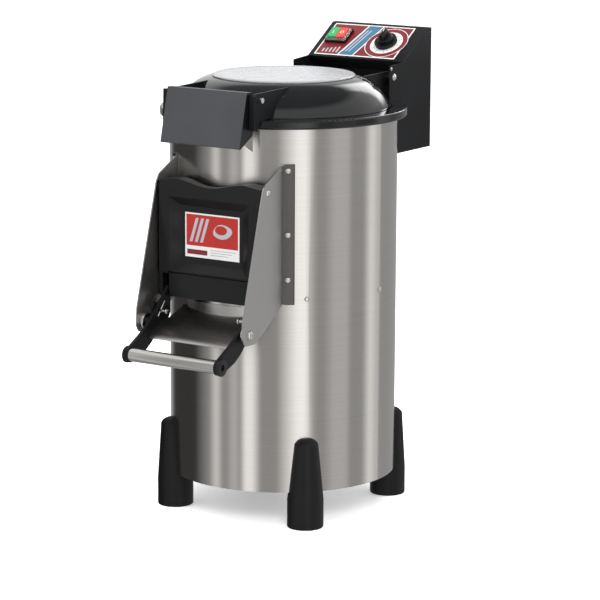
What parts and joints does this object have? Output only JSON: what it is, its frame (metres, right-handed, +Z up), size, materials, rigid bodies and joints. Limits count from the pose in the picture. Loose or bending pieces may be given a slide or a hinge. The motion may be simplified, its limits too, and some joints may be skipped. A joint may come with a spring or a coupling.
{
  "type": "electric potato peeler",
  "caption": "Free-standing electric drum peeler with hinged domed lid, lever-worked discharge door, belt-driven abrasive disc and rear control box.",
  "frame": {"origin": "on the floor under the centre of the machine's bounding box", "axes": "+Z up, the discharge door and lever face -Y, +X to the right for someone facing the door"},
  "size_m": [0.5199, 0.82, 0.9913],
  "materials": {
    "stainless_brushed": "brushed",
    "stainless_bright": "polished",
    "black_paint": "satin",
    "black_moulding": "fine textured",
    "black_gloss": "gloss",
    "black_rubber": "matt",
    "clear_plastic": "clear",
    "abrasive": "coarse grit",
    "cast_aluminium": "cast",
    "plain_steel": "machined",
    "cast_iron": "cast",
    "label_print": "printed film",
    "green_button": "gloss",
    "red_button": "gloss"
  },
  "bodies": {
    "machine": {"outer_drum": "stainless_brushed", "base_ring": "plain_steel", "foot_front_left": "black_rubber", "foot_front_right": "black_rubber", "foot_rear_left": "black_rubber", "foot_rear_right": "black_rubber", "foot_bolts": "stainless_bright", "chamber_floor": "stainless_brushed", "inner_liner": "abrasive", "discharge_throat": "stainless_brushed", "door_seal": "black_rubber", "bearing_housing": "cast_iron", "shaft_bearings": "plain_steel", "shaft_seal": "black_rubber", "drive_belt": "black_rubber", "motor_housing": "cast_aluminium", "motor_plate": "plain_steel", "motor_tie_rods": "plain_steel", "drain_pipe": "black_moulding", "water_inlet": "stainless_bright", "top_ring": "black_gloss", "lid_hinge_pins": "stainless_bright", "cheeks": "stainless_brushed", "door_hinge_pins": "stainless_bright", "lever_pivot_bolts": "stainless_bright", "discharge_tray": "stainless_brushed", "control_box": "black_paint", "box_sides": "black_paint", "box_back_cover": "black_paint", "panel_overlay": "label_print", "switch_base": "black_moulding", "switch_bezel": "clear_plastic", "timer_unit": "black_moulding", "cable_gland": "black_moulding", "casing_screws": "stainless_bright"},
    "disc": {"drive_shaft": "plain_steel", "peeling_disc": "cast_aluminium", "disc_nut": "stainless_bright", "driven_pulley": "cast_aluminium"},
    "rotor": {"motor_shaft": "plain_steel", "drive_pulley": "cast_iron"},
    "lid": {"lid_dome": "black_gloss", "lid_window": "clear_plastic", "lid_gasket": "black_rubber", "lid_brackets": "black_paint", "lid_hinge_arms": "black_paint", "flap_pin": "stainless_bright", "bracket_bolt": "stainless_bright"},
    "latch": {"latch_flap": "black_moulding", "catch_plates": "stainless_brushed"},
    "door": {"door_panel": "black_moulding", "door_label": "label_print"},
    "lever": {"lever_arms": "black_paint", "arm_rollers": "black_rubber", "roller_bolts": "stainless_bright", "handle_tube": "stainless_brushed", "handle_caps": "black_moulding"},
    "start_key": {"start_button": "green_button"},
    "stop_key": {"stop_button": "red_button"},
    "timer": {"timer_knob": "black_moulding"}
  },
  "joints": [
    {"name": "disc_spin", "type": "hinge", "parent": "machine", "child": "disc", "pos_m": [0, 0.008, 0.5], "axis": [0, 0, 1], "continuous": true},
    {"name": "motor_spin", "type": "hinge", "parent": "machine", "child": "rotor", "pos_m": [0, 0.158, 0.345], "axis": [0, 0, 1], "continuous": true},
    {"name": "lid_hinge", "type": "hinge", "parent": "machine", "child": "lid", "pos_m": [0, 0.254, 0.895], "axis": [-1, 0, 0], "range_deg": [0, 95]},
    {"name": "latch_hinge", "type": "hinge", "parent": "lid", "child": "latch", "pos_m": [0, -0.242, 0.895], "axis": [-1, 0, 0], "range_deg": [0, 35]},
    {"name": "lever_pivot", "type": "hinge", "parent": "machine", "child": "lever", "pos_m": [0, -0.316, 0.43], "axis": [1, 0, 0], "range_deg": [0, 60]},
    {"name": "door_hinge", "type": "hinge", "parent": "machine", "child": "door", "pos_m": [0, -0.248, 0.71], "axis": [-1, 0, 0], "range_deg": [0, 20]},
    {"name": "start_press", "type": "slide", "parent": "machine", "child": "start_key", "axis": [0, 0.5395, -0.842], "range_m": [0, 0.004], "stiffness_N_per_m": 300, "springref_m": -0.003},
    {"name": "stop_press", "type": "slide", "parent": "machine", "child": "stop_key", "axis": [0, 0.5395, -0.842], "range_m": [0, 0.004], "stiffness_N_per_m": 300, "springref_m": -0.003},
    {"name": "timer_turn", "type": "hinge", "parent": "machine", "child": "timer", "pos_m": [0.049, 0.34012, 0.96013], "axis": [0, 0.5395, -0.842], "range_deg": [0, 330]}
  ],
  "couplings": [
    {"joint": "motor_spin", "follows": "disc_spin", "ratio": 4.5},
    {"joint": "door_hinge", "follows": "lever_pivot", "ratio": 0.3333}
  ]
}
